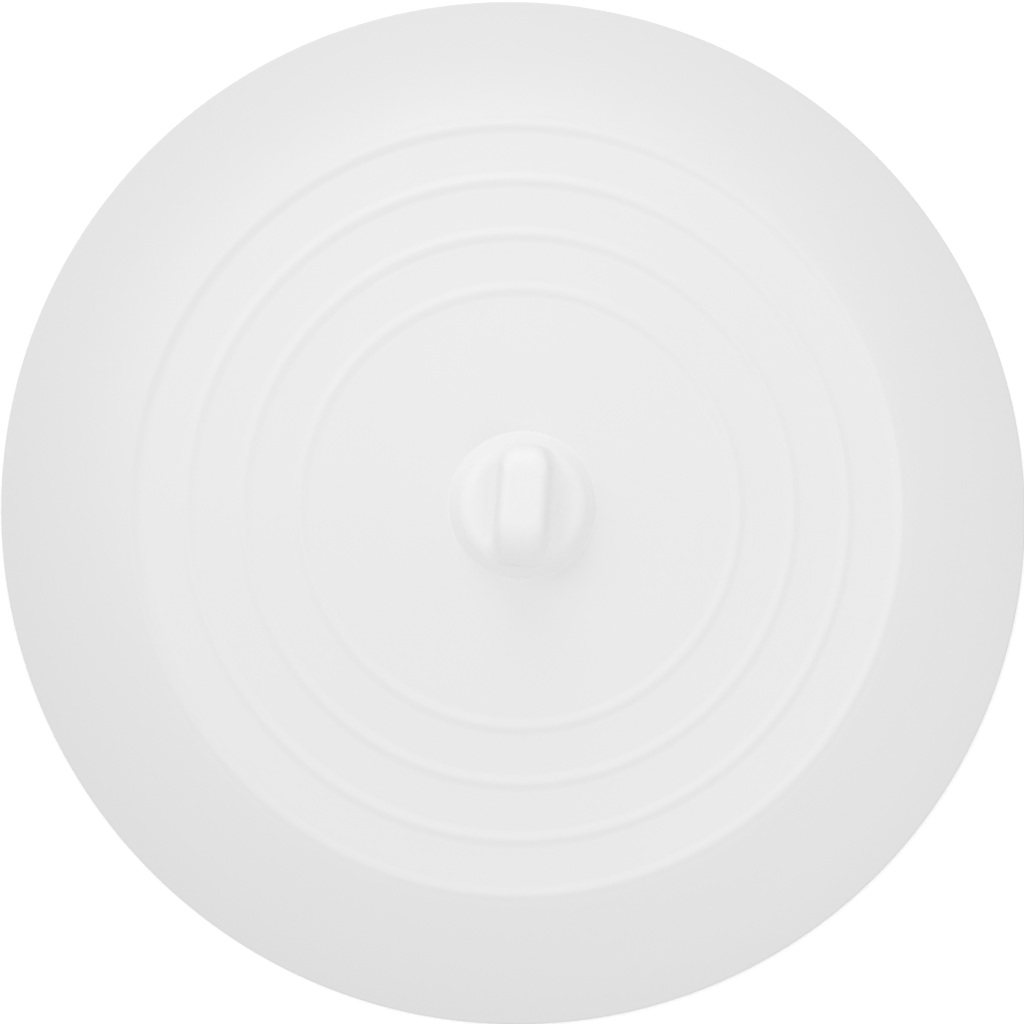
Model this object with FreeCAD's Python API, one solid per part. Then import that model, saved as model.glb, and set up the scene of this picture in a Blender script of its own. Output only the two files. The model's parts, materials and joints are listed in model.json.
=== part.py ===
import FreeCAD
import Part
import math
import os

# A soft drain stopper, a thin round cover that is laid over a bath or sink outlet. A flat lip seals on
# the floor of the bath, a flared skirt and a slightly conical sheet with raised ribs rise from it, and
# a knob with a finger fin stands in the middle. Its axis is z, and its lip lies on z = 0.
# Lengths are in millimetres and angles in degrees.

# Across the disc, from the middle outwards
first_rib_radius = 31.8
rib_pitch = 8.1
skirt_width = 11.9
lip_width = 7.0

# Heights of the sheet, from the floor upwards
lip_edge_thickness = 0.7
lip_root_thickness = 2.1
shoulder_hollow = 3.1
sheet_thickness = 2.0
cone_rise = 4.2

# Section of a rib, a low ridge
rib_height = 0.4
rib_inner_run = 1.3
rib_outer_run = 1.5

# Round boss in the middle
knob_diameter = 21.4
knob_wall_height = 2.4
knob_bevel = 0.8

# Upright tab across the boss, long in y, with its sloping end to the front
fin_end_setback = 0.9
fin_root_thickness = 8.0
fin_height = 6.0
fin_front_draft = 30.0
fin_back_draft = 8.0
fin_side_draft = 8.0
fin_front_round = 5.3
fin_back_round = 3.0
fin_edge_bevel = 0.8

# Room for the middle to move inside the band round it
press_clearance = 0.15

# Worked out from the sizes above
band_names = ["inner_band", "middle_band", "outer_band"]
rib_radii = [first_rib_radius + rib_pitch * i for i in range(len(band_names) + 1)]
crease_radii = [radius + rib_outer_run for radius in rib_radii]
shoulder_radius = rib_radii[-1]
lip_radius = shoulder_radius + skirt_width
rim_radius = lip_radius + lip_width
knob_radius = knob_diameter / 2
knob_flat_radius = knob_radius - knob_bevel
plate_top = shoulder_hollow + sheet_thickness + cone_rise
knob_wall_top = plate_top + knob_wall_height
knob_top = knob_wall_top + knob_bevel
fin_top = knob_top + fin_height
cone_slope = cone_rise / (shoulder_radius - knob_radius)
lip_slope = (lip_root_thickness - lip_edge_thickness) / lip_width

origin = FreeCAD.Vector(0, 0, 0)
across = FreeCAD.Vector(1, 0, 0)
along = FreeCAD.Vector(0, 1, 0)
up = FreeCAD.Vector(0, 0, 1)
hair = 0.001


def point(radius, height):
    """A point of a section through the axis."""
    return FreeCAD.Vector(radius, 0, height)


def path(*points):
    """Straight edges from each point to the next."""
    return [Part.makeLine(a, b) for a, b in zip(points, points[1:])]


def spun(edges):
    """The solid that a closed section makes when it is turned about the axis."""
    face = Part.Face(Part.Wire(edges))
    return face.revolve(origin, up, 360)


def sheet_top(radius):
    """Height of the conical sheet's upper face."""
    return plate_top - cone_slope * (radius - knob_radius)


def on_top(radius):
    """A point on the sheet's upper face."""
    return point(radius, sheet_top(radius))


def on_underside(radius):
    """A point on the sheet's lower face."""
    return point(radius, sheet_top(radius) - sheet_thickness)


def ribbed_top(start_radius, rib_radius):
    """Upper points of the sheet, from a radius out to the crease behind the next rib."""
    foot = on_top(rib_radius - rib_inner_run)
    crest = on_top(rib_radius) + up * rib_height
    crease = on_top(rib_radius + rib_outer_run)
    return [on_top(start_radius), foot, crest, crease]


def sealing_lip():
    """The thin flat rim, which tapers to its edge."""
    inner_bottom = point(lip_radius, 0)
    inner_top = point(lip_radius, lip_root_thickness)
    edge_top = point(rim_radius, lip_edge_thickness)
    edge_bottom = point(rim_radius, 0)
    return spun(path(inner_bottom, inner_top, edge_top, edge_bottom, inner_bottom))


def flared_skirt():
    """The sheet that rises from the lip to the outermost crease, with a hollow upper face."""
    inner_bottom = on_underside(crease_radii[-1])
    inner_top = on_top(crease_radii[-1])
    outer_top = point(lip_radius, lip_root_thickness)
    outer_bottom = point(lip_radius, 0)
    half_width = (lip_radius - crease_radii[-1]) / 2
    bend = outer_top + FreeCAD.Vector(-half_width, 0, half_width * lip_slope)
    flare = Part.BezierCurve()
    flare.setPoles([inner_top, bend, outer_top])
    rise = path(inner_bottom, inner_top) + [flare.toShape()]
    return spun(rise + path(outer_top, outer_bottom, inner_bottom))


def band(index):
    """One ring of the sheet, with its rib along its outer side."""
    start = crease_radii[index]
    if index == 0:
        start += press_clearance
    end = crease_radii[index + 1]
    top = ribbed_top(start, rib_radii[index + 1])
    return spun(path(*top, on_underside(end), on_underside(start), on_top(start)))


def centre_plate():
    """The stiffer middle, conical on top with the first rib, and level below to lie on the bath."""
    seat = point(0, plate_top)
    underside = on_underside(crease_radii[0])
    middle = point(0, underside.z)
    return spun(path(seat, *ribbed_top(knob_radius, rib_radii[0]), underside, middle, seat))


def knob_base():
    """The round boss, with a bevelled upper edge."""
    foot = [point(0, plate_top), point(knob_radius, plate_top)]
    edge = [point(knob_radius, knob_wall_top), point(knob_flat_radius, knob_top)]
    return spun(path(*foot, *edge, point(0, knob_top), foot[0]))


def drafted_slab(half_width, drafts, direction):
    """A block that stands on the boss and narrows upwards on two sides.

    half_width is measured at its foot, square to the direction that the block is long in, and drafts
    are the slopes of the two sides.
    """
    sideways = up.cross(direction)
    first, second = [half_width - fin_height * math.tan(math.radians(draft)) for draft in drafts]
    start = direction * -knob_radius
    foot = start + up * knob_top
    top = start + up * fin_top
    corners = [
        foot - sideways * half_width,
        foot + sideways * half_width,
        top + sideways * second,
        top - sideways * first,
    ]
    section = Part.Face(Part.makePolygon(corners + corners[:1]))
    return section.extrude(direction * knob_diameter)


def grip_fin():
    """The tab that is pinched between two fingers, with rounded ends and bevelled edges."""
    arch = drafted_slab(knob_flat_radius - fin_end_setback, [fin_front_draft, fin_back_draft], across)
    for end, radius in [(-1, fin_front_round), (1, fin_back_round)]:
        ridges = [
            edge
            for edge in arch.Edges
            if edge.BoundBox.ZMin > fin_top - hair
            and edge.BoundBox.YLength < hair
            and edge.CenterOfMass.y * end > 0
        ]
        arch = arch.makeFillet(radius, ridges)
    tab = arch.common(drafted_slab(fin_root_thickness / 2, [fin_side_draft, fin_side_draft], along))
    cheeks = [face for face in tab.Faces if abs(face.normalAt(0, 0).x) > 0.9]
    rims = [
        edge
        for face in cheeks
        for edge in face.Edges
        if edge.BoundBox.ZMax > knob_top + hair
    ]
    return tab.makeChamfer(fin_edge_bevel, rims)


nodes = {
    "sealing_lip": sealing_lip(),
    "flared_skirt": flared_skirt(),
    "centre_plate": centre_plate(),
    "knob_base": knob_base(),
    "grip_fin": grip_fin(),
}
for index, name in enumerate(band_names):
    nodes[name] = band(index)

os.makedirs("parts", exist_ok=True)
for name, shape in nodes.items():
    shape.exportStep(f"parts/{name}.step")
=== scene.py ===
"""A white silicone drain stopper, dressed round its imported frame.

The stopper is a thin round cover that is laid over a bath or sink outlet. A ribbed sheet runs from
its sealing lip up to a stiffer middle, the hub, which carries a knob with a finger fin. Lengths are
in metres, z is up, the lip lies on z = 0 and the fin runs along y.
"""

import json
import logging
import math
from dataclasses import dataclass, field, replace
from enum import Enum
from typing import Iterable, Sequence

import bmesh
import bpy
from bmesh.types import BMEdge, BMesh, BMVert
from bpy.types import ID, Material, Node, NodeSocket, NodeTree, Object
from mathutils import Matrix, Vector
from mathutils.bvhtree import BVHTree


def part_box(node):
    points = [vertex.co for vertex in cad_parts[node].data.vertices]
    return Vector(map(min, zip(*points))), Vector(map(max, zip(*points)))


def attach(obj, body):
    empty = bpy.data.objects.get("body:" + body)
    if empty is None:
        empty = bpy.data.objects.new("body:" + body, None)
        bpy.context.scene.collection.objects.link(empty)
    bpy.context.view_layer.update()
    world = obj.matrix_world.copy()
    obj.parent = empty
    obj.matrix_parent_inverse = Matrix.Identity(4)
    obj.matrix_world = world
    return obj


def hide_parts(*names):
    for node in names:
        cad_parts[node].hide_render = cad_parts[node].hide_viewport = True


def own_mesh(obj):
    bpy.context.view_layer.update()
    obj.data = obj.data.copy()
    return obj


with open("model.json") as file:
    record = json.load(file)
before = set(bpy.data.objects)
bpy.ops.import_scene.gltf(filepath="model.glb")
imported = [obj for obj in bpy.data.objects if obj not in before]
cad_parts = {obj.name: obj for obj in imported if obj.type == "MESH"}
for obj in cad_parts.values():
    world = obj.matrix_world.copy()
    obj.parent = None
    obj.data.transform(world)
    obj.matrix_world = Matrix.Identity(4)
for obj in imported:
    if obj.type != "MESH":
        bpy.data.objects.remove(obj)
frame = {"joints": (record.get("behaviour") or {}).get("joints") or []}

log = logging.getLogger("drain_stopper")

MM = 0.001
SAME_PLACE = 0.002 * MM
SHARP_ANGLE = math.radians(40)

# Steps of a full turn about the axis, of a rounded edge of the fin and of the fin's hollow foot
TURN_STEPS = 320
FLANK_STEPS = 9
FOOT_STEPS = 10

# Colour sockets of a mix node, whose names other sockets of it have too
MIX_FIRST, MIX_SECOND = 6, 7
MIX_RESULT = 2

Colour = tuple[float, float, float, float]


def grey(level: float) -> Colour:
    """A neutral colour, from black at 0 to white at 1."""
    return (level, level, level, 1.0)


class Body(Enum):
    """The two bodies of the frame."""

    SHEET = "sheet"
    HUB = "hub"


class Slot(Enum):
    """The record's material slots."""

    SHEET = "silicone_sheet"
    GRIP = "silicone_grip"


@dataclass(frozen=True)
class Corner:
    """A corner of a section through the axis.

    rounding is the width that a bevel takes from both sides of the corner, in so many segments.
    """

    radius: float
    height: float
    rounding: float = 0.0
    segments: int = 6


@dataclass(frozen=True)
class Line:
    """A line of corners from the axis outwards, such as the upper face of the sheet."""

    corners: tuple[Corner, ...]

    def height(self, radius: float) -> float:
        """Finds the height of the line before its corners are rounded.

        Args:
            radius: Distance from the axis.

        Returns:
            The height there.
        """
        for inner, outer in zip(self.corners, self.corners[1:]):
            if inner.radius <= radius <= outer.radius:
                share = (radius - inner.radius) / (outer.radius - inner.radius)
                return inner.height + share * (outer.height - inner.height)
        raise ValueError(f"the line has no point {radius} m from the axis")

    def between(self, start: float, end: float) -> list[Corner]:
        """Cuts a stretch out of the line.

        Args:
            start: Distance of the first corner from the axis.
            end: Distance of the last corner from the axis.

        Returns:
            The corners of the stretch, with a plain corner at each end.
        """
        inside = [corner for corner in self.corners if start < corner.radius < end]
        return [Corner(start, self.height(start)), *inside, Corner(end, self.height(end))]


def bevel(
    mesh: BMesh, parts: Iterable[BMEdge | BMVert], width: float, segments: int, affect: str = "EDGES"
) -> None:
    """Rounds edges or corners of a mesh.

    Args:
        mesh: The mesh to change.
        parts: The edges or vertices to round.
        width: Width taken from each side of an edge or corner.
        segments: Number of strips in the rounding.
        affect: EDGES or VERTICES.
    """
    bmesh.ops.bevel(
        mesh, geom=list(parts), offset=width, offset_type="OFFSET", affect=affect,
        segments=segments, profile=0.5, material=-1, clamp_overlap=True,
    )


def turned(corners: Sequence[Corner]) -> BMesh:
    """Turns a section about the axis and rounds its corners.

    Args:
        corners: The section. It is closed unless it starts and ends on the axis.

    Returns:
        A closed mesh.
    """
    mesh = bmesh.new()
    verts = [mesh.verts.new((corner.radius, 0, corner.height)) for corner in corners]
    ends = list(zip(verts, verts[1:]))
    if corners[0].radius > 0:
        ends.append((verts[-1], verts[0]))
    edges = [mesh.edges.new(pair) for pair in ends]
    bmesh.ops.spin(
        mesh, geom=verts + edges, cent=(0, 0, 0), axis=(0, 0, 1), angle=math.tau,
        steps=TURN_STEPS, use_merge=True,
    )
    bmesh.ops.remove_doubles(mesh, verts=mesh.verts, dist=SAME_PLACE)
    bmesh.ops.recalc_face_normals(mesh, faces=mesh.faces)
    for corner in corners:
        if corner.rounding > 0:
            bevel(mesh, ring_edges(mesh, corner), corner.rounding, corner.segments)
    return mesh


def ring_edges(mesh: BMesh, corner: Corner) -> list[BMEdge]:
    """Finds the ring of edges that a corner of a turned section left behind.

    Args:
        mesh: A turned mesh.
        corner: The corner of its section.

    Returns:
        The edges of the ring.
    """
    def on_corner(vert: BMVert) -> bool:
        """Tells if a vertex lies on the ring."""
        off_radius = abs(vert.co.xy.length - corner.radius)
        return off_radius < SAME_PLACE and abs(vert.co.z - corner.height) < SAME_PLACE

    ring = {vert for vert in mesh.verts if on_corner(vert)}
    return [edge for edge in mesh.edges if edge.verts[0] in ring and edge.verts[1] in ring]


class NodeChain:
    """Adds shader nodes to a tree and links them."""

    def __init__(self, tree: NodeTree) -> None:
        """Starts on a tree without its old nodes."""
        self.tree = tree
        self.tree.nodes.clear()

    def add(self, kind: str, inputs: dict | None = None, **settings: object) -> Node:
        """Adds a node.

        Args:
            kind: The node's type name.
            inputs: Values or output sockets for its inputs, by name or index.
            settings: Properties of the node.

        Returns:
            The new node.
        """
        node = self.tree.nodes.new(kind)
        for name, value in settings.items():
            setattr(node, name, value)
        for name, value in (inputs or {}).items():
            if isinstance(value, NodeSocket):
                self.tree.links.new(value, node.inputs[name])
            else:
                node.inputs[name].default_value = value
        return node


@dataclass(frozen=True)
class Mottle:
    """An irregular pattern of patches about as wide as size."""

    size: float
    detail: float
    roughness: float

    def socket(self, chain: NodeChain, place: NodeSocket) -> NodeSocket:
        """Adds the pattern to a material.

        Args:
            chain: The material's nodes.
            place: Object coordinates.

        Returns:
            A socket with the pattern, from 0 to 1.
        """
        scale = 1 / self.size
        node = chain.add(
            "ShaderNodeTexNoise",
            {"Vector": place, "Scale": scale, "Detail": self.detail, "Roughness": self.roughness},
        )
        return node.outputs["Fac"]


@dataclass(frozen=True)
class RimShadeStop:
    """How far painted shade has darkened the sheet's colour towards the thin rim, at a distance from
    the axis.
    """

    radius: float
    share: float


@dataclass(frozen=True)
class SiliconeFinish:
    """Satin white silicone rubber with a fine mould texture.

    Where the rubber is thin, towards the rim, its colour turns darker: painted shade, standing in for
    the light that passes through thin rubber instead of coming back from it.
    """

    name: str
    colour: Colour
    clouded_colour: Colour
    # Painted shade: the darker colour that the sheet turns to towards its thin rim, and the radii where
    # it does
    rim_shade_colour: Colour = grey(0.775)
    painted_rim_shade: tuple[RimShadeStop, ...] = ()
    clouds: Mottle = Mottle(size=9 * MM, detail=3.0, roughness=0.55)
    grain: Mottle = Mottle(size=0.35 * MM, detail=2.0, roughness=0.6)
    grain_depth: float = 0.004 * MM
    grain_strength: float = 0.5
    roughness: float = 0.5
    roughness_spread: float = 0.08
    refraction: float = 1.41

    def material(self) -> Material:
        """Makes the material.

        Returns:
            A material whose patterns follow Object coordinates.
        """
        material = bpy.data.materials.new(self.name)
        material.use_nodes = True
        chain = NodeChain(material.node_tree)
        place = chain.add("ShaderNodeTexCoord").outputs["Object"]
        clouds = self.clouds.socket(chain, place)
        colour = self.mix(chain, clouds, self.colour, self.clouded_colour)
        # Painted shade, darker towards the thin rim
        if self.painted_rim_shade:
            colour = self.mix(chain, self.rim_shade_share(chain, place), colour, self.rim_shade_colour)
        grain = self.grain.socket(chain, place)
        satin = chain.add(
            "ShaderNodeMapRange",
            {
                "Value": grain,
                "To Min": self.roughness - self.roughness_spread,
                "To Max": self.roughness + self.roughness_spread,
            },
        ).outputs["Result"]
        relief = chain.add(
            "ShaderNodeBump",
            {"Height": grain, "Strength": self.grain_strength, "Distance": self.grain_depth},
        ).outputs["Normal"]
        shader = chain.add(
            "ShaderNodeBsdfPrincipled",
            {"Base Color": colour, "Roughness": satin, "Normal": relief, "IOR": self.refraction},
        )
        chain.add("ShaderNodeOutputMaterial", {"Surface": shader.outputs["BSDF"]})
        return material

    def rim_shade_share(self, chain: NodeChain, place: NodeSocket) -> NodeSocket:
        """Measures the share of painted shade, which grows towards the thin rim, by the distance from
        the axis.

        Args:
            chain: The material's nodes.
            place: Object coordinates.

        Returns:
            A socket with the share of rim_shade_colour.
        """
        flat = chain.add(
            "ShaderNodeVectorMath", {0: place, 1: (1.0, 1.0, 0.0)}, operation="MULTIPLY"
        ).outputs["Vector"]
        radius = chain.add("ShaderNodeVectorMath", {0: flat}, operation="LENGTH").outputs["Value"]
        reach = self.painted_rim_shade[-1].radius
        across = chain.add("ShaderNodeMath", {0: radius, 1: reach}, operation="DIVIDE").outputs[0]
        ramp = chain.add("ShaderNodeValToRGB", {"Fac": across})
        stops = ramp.color_ramp.elements
        for _ in self.painted_rim_shade[2:]:
            stops.new(1.0)
        for stop, painted_rim_shade in zip(stops, self.painted_rim_shade):
            stop.position = painted_rim_shade.radius / reach
            stop.color = grey(painted_rim_shade.share)
        return ramp.outputs["Color"]

    @staticmethod
    def mix(
        chain: NodeChain, share: NodeSocket, first: object, second: object
    ) -> NodeSocket:
        """Mixes two colours.

        Args:
            chain: The material's nodes.
            share: Share of the second colour.
            first: A colour or a socket.
            second: A colour or a socket.

        Returns:
            The mixed colour.
        """
        node = chain.add(
            "ShaderNodeMix",
            {"Factor": share, MIX_FIRST: first, MIX_SECOND: second},
            data_type="RGBA",
        )
        return node.outputs[MIX_RESULT]


def added(name: str, data: ID) -> Object:
    """Adds an object to the scene.

    Args:
        name: The object's name.
        data: Its mesh, lamp or camera.

    Returns:
        The new object.
    """
    item = bpy.data.objects.new(name, data)
    bpy.context.scene.collection.objects.link(item)
    return item


@dataclass
class SiliconeGroup:
    """Pieces that ride on one body."""

    body: Body

    def piece(self, node: str, mesh: BMesh, slot: Slot, material: Material) -> Object:
        """Makes a mesh a finished piece that stands for a node of the frame.

        Args:
            node: The node, whose name the piece takes.
            mesh: The piece's shape, which is freed.
            slot: Not used.
            material: Its material.

        Returns:
            The piece.
        """
        data = bpy.data.meshes.new(node)
        for face in mesh.faces:
            face.smooth = True
        mesh.to_mesh(data)
        mesh.free()
        data.set_sharp_from_angle(angle=SHARP_ANGLE)
        data.materials.append(material)
        piece = added(f"{node}_silicone", data)
        even = piece.modifiers.new("even_shading", "WEIGHTED_NORMAL")
        even.keep_sharp = True
        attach(piece, self.body.value)
        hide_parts(node)
        return piece


@dataclass
class StopperForm:
    """The stopper's section, worked out from the frame.

    Each ring of the sheet ends in a crease behind its rib, and the pieces part at joints a little
    further out. A rib has a low tail on its outer side, which fades into the sheet.
    """

    rib_setback: float = 1.5 * MM
    rib_height: float = 0.4 * MM
    rib_inner_run: float = 1.1 * MM
    rib_outer_run: float = 1.1 * MM
    rib_rounding: float = 0.35 * MM
    rib_foot_rounding: float = 0.3 * MM
    rib_tail_height: float = 0.07 * MM
    rib_tail_run: float = 2.3 * MM
    joint_step: float = 0.9 * MM
    lip_edge_thickness: float = 0.7 * MM
    lip_edge_rounding: float = 0.28 * MM
    flare_rounding_share: float = 0.94
    flare_segments: int = 16
    creases: list[float] = field(init=False)
    joints: list[float] = field(init=False)
    knob_radius: float = field(init=False)
    lip_radius: float = field(init=False)
    rim_radius: float = field(init=False)
    lip_root_thickness: float = field(init=False)
    plate_bottom: float = field(init=False)
    plate_top: float = field(init=False)
    slope: float = field(init=False)
    thickness: float = field(init=False)
    upper: Line = field(init=False)
    lower: Line = field(init=False)

    def __post_init__(self) -> None:
        """Reads the radii and heights of the frame's nodes."""
        rings = ("centre_plate", "inner_band", "middle_band", "outer_band")
        self.creases = [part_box(node)[1].x for node in rings]
        self.lip_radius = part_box("flared_skirt")[1].x
        self.rim_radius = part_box("sealing_lip")[1].x
        self.lip_root_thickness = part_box("sealing_lip")[1].z
        self.plate_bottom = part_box("centre_plate")[0].z
        self.plate_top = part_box("knob_base")[0].z
        self.knob_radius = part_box("knob_base")[1].x
        inner_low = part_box("inner_band")[0].z
        outer_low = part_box("outer_band")[0].z
        _, inner_end, _, outer_end = self.creases
        self.slope = (inner_low - outer_low) / (outer_end - inner_end)
        self.thickness = self.cone_top(inner_end) - inner_low
        self.joints = [crease + self.joint_step for crease in self.creases]
        self.upper = Line(tuple(self.upper_corners()))
        self.lower = Line(tuple(self.lower_corners()))

    def cone_top(self, radius: float) -> float:
        """Height of the bare conical sheet's upper face."""
        return self.plate_top - self.slope * (radius - self.knob_radius)

    def upper_corners(self) -> list[Corner]:
        """Lists the corners of the upper face.

        Returns:
            The corners from the axis to the rim.
        """
        corners = [Corner(0, self.plate_top), Corner(self.knob_radius, self.plate_top)]
        for end in self.creases:
            crest = end - self.rib_setback
            foot = crest - self.rib_inner_run
            crease = crest + self.rib_outer_run
            tail = crease + self.rib_tail_run
            corners += [
                Corner(foot, self.cone_top(foot), self.rib_foot_rounding),
                Corner(crest, self.cone_top(crest) + self.rib_height, self.rib_rounding),
                Corner(crease, self.cone_top(crease) + self.rib_tail_height, self.rib_foot_rounding),
                Corner(tail, self.cone_top(tail)),
            ]
        # The outermost rib has the skirt behind it instead of a tail
        last = self.creases[-1]
        corners[-1] = Corner(last, self.cone_top(last), self.rib_foot_rounding)
        half_flare = (self.lip_radius - last) / 2
        lip_width = self.rim_radius - self.lip_radius
        lip_slope = (self.lip_root_thickness - self.lip_edge_thickness) / lip_width
        bend = Corner(
            self.lip_radius - half_flare,
            self.lip_root_thickness + half_flare * lip_slope,
            half_flare * self.flare_rounding_share - self.joint_step,
            self.flare_segments,
        )
        edge = Corner(self.rim_radius, self.lip_edge_thickness, self.lip_edge_rounding)
        return [*corners, bend, edge]

    def lower_corners(self) -> list[Corner]:
        """Lists the corners of the lower face.

        Returns:
            The corners from the axis to the rim.
        """
        start = self.joints[0]
        crease = self.creases[-1]
        return [
            Corner(0, self.plate_bottom),
            Corner(start, self.cone_top(start) - self.thickness),
            Corner(crease, self.cone_top(crease) - self.thickness),
            Corner(self.lip_radius, 0),
            Corner(self.rim_radius, 0, self.lip_edge_rounding),
        ]

    def ring(self, start: float, end: float) -> BMesh:
        """Makes a ring of the sheet.

        Args:
            start: Its inner radius.
            end: Its outer radius.

        Returns:
            A closed mesh.
        """
        upper = self.upper.between(start, end)
        lower = self.lower.between(start, end)
        if end == self.rim_radius:
            upper[-1] = self.upper.corners[-1]
            lower[-1] = self.lower.corners[-1]
        return turned([*upper, *reversed(lower)])


@dataclass(frozen=True)
class SheetLie:
    """How the soft sheet lies: drawn a little to one side of the knob, and a little oval at its rim."""

    start: float
    end: float
    shift: Vector = field(default_factory=lambda: Vector((-1.35 * MM, -0.5 * MM, 0)))
    oval: float = 0.3 * MM
    oval_angle: float = math.radians(-38.7)

    def settle(self, mesh: BMesh) -> BMesh:
        """Moves vertices level with the floor, more the further they are from the knob.

        Args:
            mesh: A piece of the sheet.

        Returns:
            The same mesh.
        """
        for vert in mesh.verts:
            share = max((vert.co.xy.length - self.start) / (self.end - self.start), 0.0)
            angle = math.atan2(vert.co.y, vert.co.x)
            swell = self.oval * share * math.cos(2 * (angle - self.oval_angle))
            outwards = Vector((math.cos(angle), math.sin(angle), 0))
            vert.co += (self.shift + outwards * swell) * share
        return mesh


@dataclass
class RibbedSheet(SiliconeGroup):
    """The soft sheet round the hub: three ribbed bands, the flared skirt and the sealing lip."""

    form: StopperForm
    lie: SheetLie
    finish: SiliconeFinish

    def build(self) -> list[Object]:
        """Builds the sheet's pieces.

        Returns:
            The pieces.
        """
        material = self.finish.material()
        limits = [*self.form.joints, self.form.lip_radius, self.form.rim_radius]
        nodes = ("inner_band", "middle_band", "outer_band", "flared_skirt", "sealing_lip")
        pieces = []
        for node, start, end in zip(nodes, limits, limits[1:]):
            mesh = self.lie.settle(self.form.ring(start, end))
            pieces.append(self.piece(node, mesh, Slot.SHEET, material))
        for piece in pieces:
            self.flatten(piece)
        return pieces

    def flatten(self, piece: Object) -> None:
        """Gives a piece its own copy of its mesh; how much of the sheet's height would be kept as the
        hub is pressed down is worked out but not used.
        """
        travel = max(abs(limit) for limit in frame["joints"][0]["range_m"])
        keep = 1 - travel / self.form.upper.height(self.form.joints[0])
        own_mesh(piece)


@dataclass(frozen=True)
class Flank:
    """A side or an end of the fin: how far it leans from upright, and the radius of its upper edge."""

    draft: float
    rounding: float

    def arc_heights(self, tall: float) -> set[float]:
        """Lists heights along the rounded edge.

        Args:
            tall: Height of the fin.

        Returns:
            Heights above the fin's foot.
        """
        turn = math.pi / 2 - self.draft
        angles = [self.draft + turn * step / FLANK_STEPS for step in range(FLANK_STEPS + 1)]
        return {tall - self.rounding * (1 - math.sin(angle)) for angle in angles}

    def inset(self, height: float, tall: float) -> float:
        """Finds how far the flank lies inside its own foot.

        Args:
            height: Height above the foot.
            tall: Height of the fin.

        Returns:
            The distance, which grows up the slope and round the edge.
        """
        centre_height = tall - self.rounding
        centre_inset = centre_height * math.tan(self.draft) + self.rounding / math.cos(self.draft)
        above = height - centre_height
        if above <= self.rounding * math.sin(self.draft):
            return height * math.tan(self.draft)
        return centre_inset - math.sqrt(max(self.rounding**2 - above**2, 0.0))


@dataclass(frozen=True)
class Layer:
    """A level cut through the fin: its height above the knob, half its width, and its two ends."""

    height: float
    half_width: float
    front: float
    back: float

    @property
    def half_length(self) -> float:
        """Half the distance between the ends."""
        return (self.back - self.front) / 2

    @property
    def middle(self) -> Vector:
        """The middle of the cut, above the knob."""
        return Vector((0, (self.front + self.back) / 2, self.height))


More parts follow.
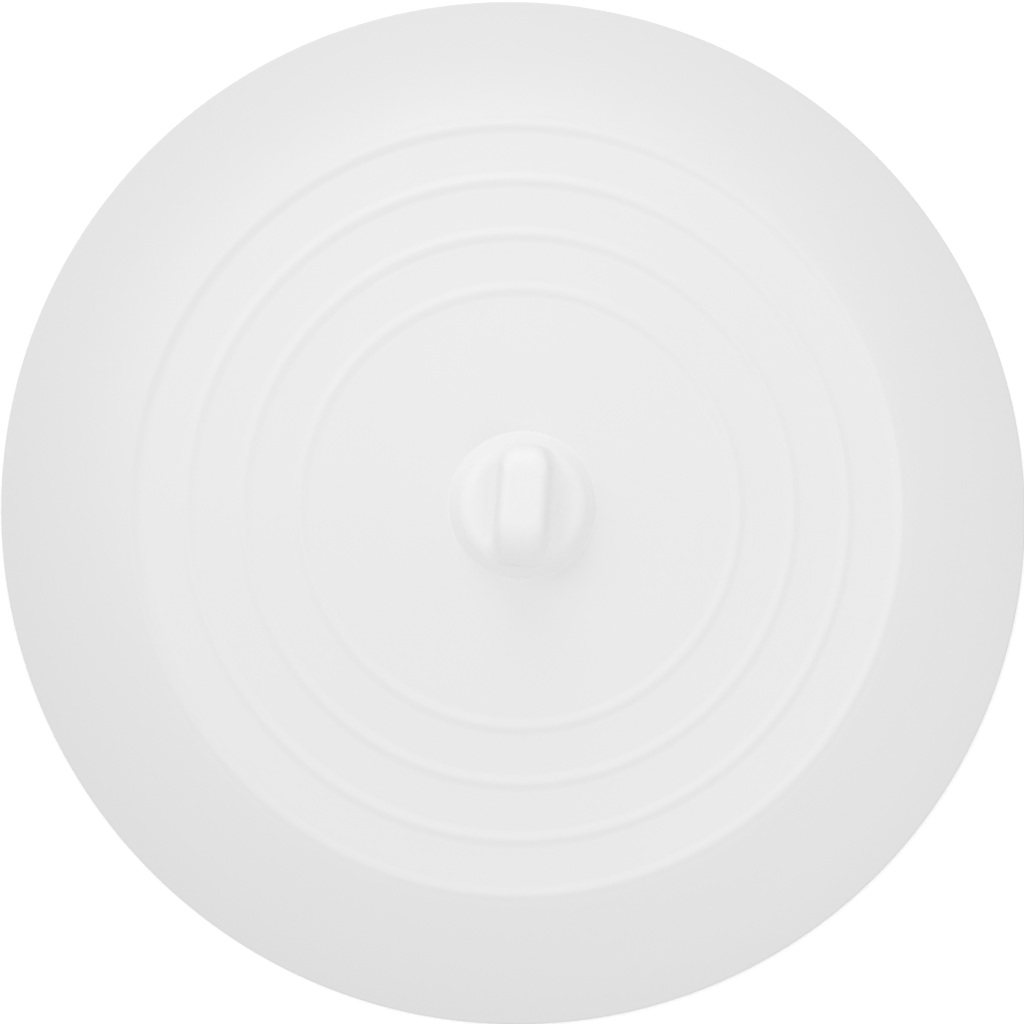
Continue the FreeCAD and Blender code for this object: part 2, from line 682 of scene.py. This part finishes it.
@dataclass
class Hub(SiliconeGroup):
    """The stiffer middle: the centre plate, the round knob and the finger fin.

    sunk is how deep the knob and the fin reach into what they stand on, and skin how far the knob's
    foot lies below the plate's face. The fin bends down to the knob within fin_seat_height of its
    foot, by fin_seat_depth times as much as the knob falls away there.
    """

    form: StopperForm
    lie: SheetLie
    sheet_finish: SiliconeFinish
    # Lighter than the sheet's finish: painted light on the knob and fin
    lit_grip_finish: SiliconeFinish
    knob_taper: float = 2.2 * MM
    knob_edge_rounding: float = 1.2 * MM
    knob_foot_rounding: float = 0.25 * MM
    knob_segments: int = 8
    sunk: float = 1.0 * MM
    skin: float = 0.02 * MM
    fin_side: Flank = Flank(math.radians(8), 1.4 * MM)
    fin_front: Flank = Flank(math.radians(30), 5.3 * MM)
    fin_back: Flank = Flank(math.radians(12), 3.4 * MM)
    fin_corner_rounding: float = 2.4 * MM
    fin_corner_segments: int = 18
    fin_side_cuts: int = 11
    fin_foot_rounding: float = 1.2 * MM
    fin_seat_height: float = 1.5 * MM
    fin_seat_depth: float = 1.1

    def build(self) -> list[Object]:
        """Builds the hub's pieces.

        Returns:
            The plate, the knob and the fin.
        """
        plate_material = self.sheet_finish.material()
        lit_grip_material = self.lit_grip_finish.material()
        knob = self.knob()
        fin = self.fin(knob)
        return [
            self.piece("centre_plate", self.plate(), Slot.SHEET, plate_material),
            self.piece("knob_base", knob, Slot.GRIP, lit_grip_material),
            self.piece("grip_fin", fin, Slot.GRIP, lit_grip_material),
        ]

    def plate(self) -> BMesh:
        """Makes the plate.

        Returns:
            A mesh that is conical on top, with the first rib, and level below.
        """
        end = self.form.joints[0]
        upper = self.form.upper.between(0, end)
        lower = [Corner(end, self.form.plate_bottom), Corner(0, self.form.plate_bottom)]
        return self.lie.settle(turned([*upper, *lower]))

    def knob(self) -> BMesh:
        """Makes the round boss with sloping sides, a rounded edge and a hollow foot.

        Returns:
            A mesh whose foot is sunk a little into the plate.
        """
        radius = self.form.knob_radius
        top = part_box("knob_base")[1].z
        bottom = self.form.plate_top - self.sunk
        foot = radius + self.knob_foot_rounding + self.skin
        foot_height = self.form.upper.height(foot) - self.skin
        return turned([
            Corner(0, bottom),
            Corner(foot, bottom),
            Corner(foot, foot_height),
            Corner(radius, self.form.plate_top, self.knob_foot_rounding, self.knob_segments),
            Corner(radius - self.knob_taper, top, self.knob_edge_rounding, self.knob_segments),
            Corner(0, top),
        ])

    def fin_layers(self) -> list[Layer]:
        """Cuts the fin into layers, close together where its flanks curve.

        Its sides spread out in a hollow curve at the foot, and its ends run straight down.

        Returns:
            The layers from the end that is sunk in the knob up to the flat top.
        """
        low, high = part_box("grip_fin")
        tall = high.z - low.z
        foot = self.fin_foot_rounding
        quarter = [math.pi / 2 * step / FOOT_STEPS for step in range(FOOT_STEPS + 1)]
        heights = {foot * (1 - math.cos(angle)) for angle in quarter}
        for flank in (self.fin_side, self.fin_front, self.fin_back):
            heights |= flank.arc_heights(tall)
        layers = []
        for height in sorted(heights):
            below = max(foot - height, 0.0)
            spread = foot - math.sqrt(foot**2 - below**2)
            layers.append(Layer(
                height,
                high.x + spread - self.fin_side.inset(height, tall),
                low.y + self.fin_front.inset(height, tall),
                high.y - self.fin_back.inset(height, tall),
            ))
        return [replace(layers[0], height=-self.sunk), *layers]

    def fin(self, knob: BMesh) -> BMesh:
        """Makes the tab that is pinched to lift the stopper, with rounded ends, edges and foot.

        Args:
            knob: The knob that it stands on.

        Returns:
            A mesh whose lower end is sunk in the knob.
        """
        layers = self.fin_layers()
        first = layers[0]
        mesh = bmesh.new()
        bmesh.ops.create_grid(mesh, x_segments=1, y_segments=1, size=1)
        bmesh.ops.scale(mesh, vec=(first.half_width, first.half_length, 1), verts=mesh.verts)
        corner = self.fin_corner_rounding + self.fin_foot_rounding
        bevel(mesh, mesh.verts, corner, self.fin_corner_segments, affect="VERTICES")
        sides = [edge for edge in mesh.edges if edge.calc_length() > corner]
        bmesh.ops.subdivide_edges(mesh, edges=sides, cuts=self.fin_side_cuts)
        for below, above in zip(layers, layers[1:]):
            border = [edge for edge in mesh.edges if edge.is_boundary]
            raised = bmesh.ops.extrude_edge_only(mesh, edges=border)["geom"]
            verts = [item for item in raised if isinstance(item, BMVert)]
            shares = (above.half_width / below.half_width, above.half_length / below.half_length, 1)
            from_middle = Matrix.Translation(first.middle - below.middle)
            bmesh.ops.scale(mesh, vec=shares, space=from_middle, verts=verts)
            bmesh.ops.translate(mesh, vec=above.middle - below.middle, verts=verts)
        bmesh.ops.edgeloop_fill(mesh, edges=[edge for edge in mesh.edges if edge.is_boundary])
        knob_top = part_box("knob_base")[1].z
        bmesh.ops.translate(mesh, vec=first.middle + Vector((0, 0, knob_top)), verts=mesh.verts)
        bmesh.ops.remove_doubles(mesh, verts=mesh.verts, dist=SAME_PLACE)
        self.seat(mesh, knob, knob_top)
        bmesh.ops.recalc_face_normals(mesh, faces=mesh.faces)
        return mesh

    def seat(self, mesh: BMesh, knob: BMesh, knob_top: float) -> None:
        """Lets the foot of the fin follow the knob's rounded edge, and sink a little into it there.

        Args:
            mesh: The fin on a flat top.
            knob: The knob.
            knob_top: Height of the flat top.
        """
        surface = BVHTree.FromBMesh(knob)
        for vert in mesh.verts:
            above = Vector((vert.co.x, vert.co.y, knob_top + self.sunk))
            below = surface.ray_cast(above, Vector((0, 0, -1)))[0]
            share = 1 - (vert.co.z - knob_top) / self.fin_seat_height
            vert.co.z -= min(max(share, 0.0), 1.0) * (knob_top - below.z) * self.fin_seat_depth


def aim(item: Object, target: Vector, azimuth: float, elevation: float, distance: float) -> None:
    """Places a lamp or a camera and turns it to a point.

    Args:
        item: The lamp or the camera.
        target: The point that it faces.
        azimuth: Where it stands, from the front towards the right.
        elevation: How far it stands above the floor, as an angle.
        distance: Its distance from the point.
    """
    level = math.cos(elevation)
    towards = Vector((math.sin(azimuth) * level, -math.cos(azimuth) * level, math.sin(elevation)))
    item.location = target + towards * distance
    item.rotation_mode = "QUATERNION"
    item.rotation_quaternion = (-towards).to_track_quat("-Z", "Y")


@dataclass(frozen=True)
class SoftBox:
    """A round soft lamp that faces the stopper, with its power in watts."""

    name: str
    azimuth: float
    elevation: float
    distance: float
    size: float
    power: float

    def hang(self) -> None:
        """Adds the lamp to the scene."""
        data = bpy.data.lights.new(self.name, "AREA")
        data.shape = "DISK"
        data.size = self.size
        data.energy = self.power
        lamp = added(self.name, data)
        aim(lamp, Vector(), self.azimuth, self.elevation, self.distance)


@dataclass
class Studio:
    """A pale floor, a light tent with three soft boxes in it, and the camera."""

    rim_centre: Vector
    rim_radius: float
    floor_size: float = 3.0
    floor_colour: Colour = grey(0.9)
    floor_roughness: float = 0.9
    floor_lift: float = 0.22
    white: Colour = grey(1.0)
    tent_strength: float = 0.789
    boxes: tuple[SoftBox, ...] = (
        SoftBox("left_box", math.radians(240), math.radians(45), distance=3.0, size=1.6, power=8.96),
        SoftBox("back_box", math.radians(192), math.radians(30), distance=0.4, size=0.2, power=0.17),
        SoftBox("right_box", math.radians(55), math.radians(60), distance=0.4, size=0.2, power=0.1145),
    )
    camera_elevation: float = math.radians(88)
    camera_azimuth: float = math.radians(4)
    camera_lens: float = 150.0
    camera_sensor: float = 36.0
    picture_fill: float = 1.0015
    picture_shift: Vector = field(default_factory=lambda: Vector((-0.14 * MM, -0.15 * MM, 0)))

    def build(self) -> None:
        """Sets up the floor, the light and the camera."""
        bpy.context.scene.view_settings.view_transform = "Standard"
        self.floor()
        self.tent()
        for box in self.boxes:
            box.hang()
        self.camera()

    @staticmethod
    def seen_directly(chain: NodeChain) -> NodeSocket:
        """Tells apart the rays that show a surface from those that light one.

        Args:
            chain: The nodes of a material or of the world.

        Returns:
            A socket that is 1 for camera, glossy and transmission rays.
        """
        rays = chain.add("ShaderNodeLightPath").outputs
        mirrored = chain.add(
            "ShaderNodeMath",
            {0: rays["Is Glossy Ray"], 1: rays["Is Transmission Ray"]},
            operation="MAXIMUM",
        ).outputs[0]
        return chain.add(
            "ShaderNodeMath", {0: rays["Is Camera Ray"], 1: mirrored}, operation="MAXIMUM"
        ).outputs[0]

    def floor(self) -> None:
        """Lays the floor, which shows white and keeps the shadow on it."""
        mesh = bmesh.new()
        bmesh.ops.create_grid(mesh, x_segments=1, y_segments=1, size=self.floor_size / 2)
        data = bpy.data.meshes.new("floor")
        mesh.to_mesh(data)
        mesh.free()
        material = bpy.data.materials.new("floor_white")
        material.use_nodes = True
        chain = NodeChain(material.node_tree)
        lift = chain.add(
            "ShaderNodeMath", {0: self.seen_directly(chain), 1: self.floor_lift}, operation="MULTIPLY"
        ).outputs[0]
        shader = chain.add(
            "ShaderNodeBsdfPrincipled",
            {
                "Base Color": self.floor_colour,
                "Roughness": self.floor_roughness,
                "Specular IOR Level": 0.0,
                "Emission Color": self.white,
                "Emission Strength": lift,
            },
        )
        chain.add("ShaderNodeOutputMaterial", {"Surface": shader.outputs["BSDF"]})
        data.materials.append(material)
        plane = added("floor", data)

    def tent(self) -> None:
        """Lights the stopper evenly from all round, before a white background."""
        world = bpy.data.worlds.new("light_tent")
        bpy.context.scene.world = world
        world.use_nodes = True
        chain = NodeChain(world.node_tree)
        shares = {"Value": self.seen_directly(chain), "To Min": self.tent_strength, "To Max": 1.0}
        strength = chain.add("ShaderNodeMapRange", shares).outputs["Result"]
        light = chain.add("ShaderNodeBackground", {"Color": self.white, "Strength": strength})
        chain.add("ShaderNodeOutputWorld", {"Surface": light.outputs["Background"]})

    def camera(self) -> None:
        """Looks almost straight down, with the rim touching all sides of a square picture."""
        data = bpy.data.cameras.new("camera")
        data.lens = self.camera_lens
        data.sensor_width = self.camera_sensor
        camera = added("camera", data)
        target = self.rim_centre + self.picture_shift
        distance = self.rim_radius * self.picture_fill * self.camera_lens / (self.camera_sensor / 2)
        aim(camera, target, self.camera_azimuth, self.camera_elevation, distance)
        bpy.context.scene.camera = camera


def main() -> None:
    """Builds the stopper and its studio."""
    logging.basicConfig(level=logging.INFO, format="%(name)s: %(message)s")
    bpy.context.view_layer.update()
    form = StopperForm()
    sheet_finish = SiliconeFinish(
        name="silicone_sheet",
        roughness=0.42,
        colour=grey(0.854),
        clouded_colour=grey(0.846),
        # Painted shade, darkening the sheet towards its thin rim
        painted_rim_shade=(
            RimShadeStop(55.0 * MM, 0.0),
            RimShadeStop(56.4 * MM, 0.24),
            RimShadeStop(63.5 * MM, 0.6),
            RimShadeStop(form.rim_radius, 1.0),
        ),
    )
    # The same silicone as the sheet, made lighter: painted light, standing in for light that scatters
    # through the thick knob and fin
    lit_grip_finish = SiliconeFinish(
        name="silicone_grip",
        colour=grey(0.892),
        clouded_colour=grey(0.884),
    )
    lie = SheetLie(form.knob_radius, form.rim_radius)
    sheet = RibbedSheet(Body.SHEET, form, lie, sheet_finish)
    hub = Hub(Body.HUB, form, lie, sheet_finish, lit_grip_finish)
    for group in (sheet, hub):
        for piece in group.build():
            log.info("%s: %d faces, on %s", piece.name, len(piece.data.polygons), group.body.value)
    Studio(lie.shift, form.rim_radius).build()


if __name__ == "__main__":
    main()
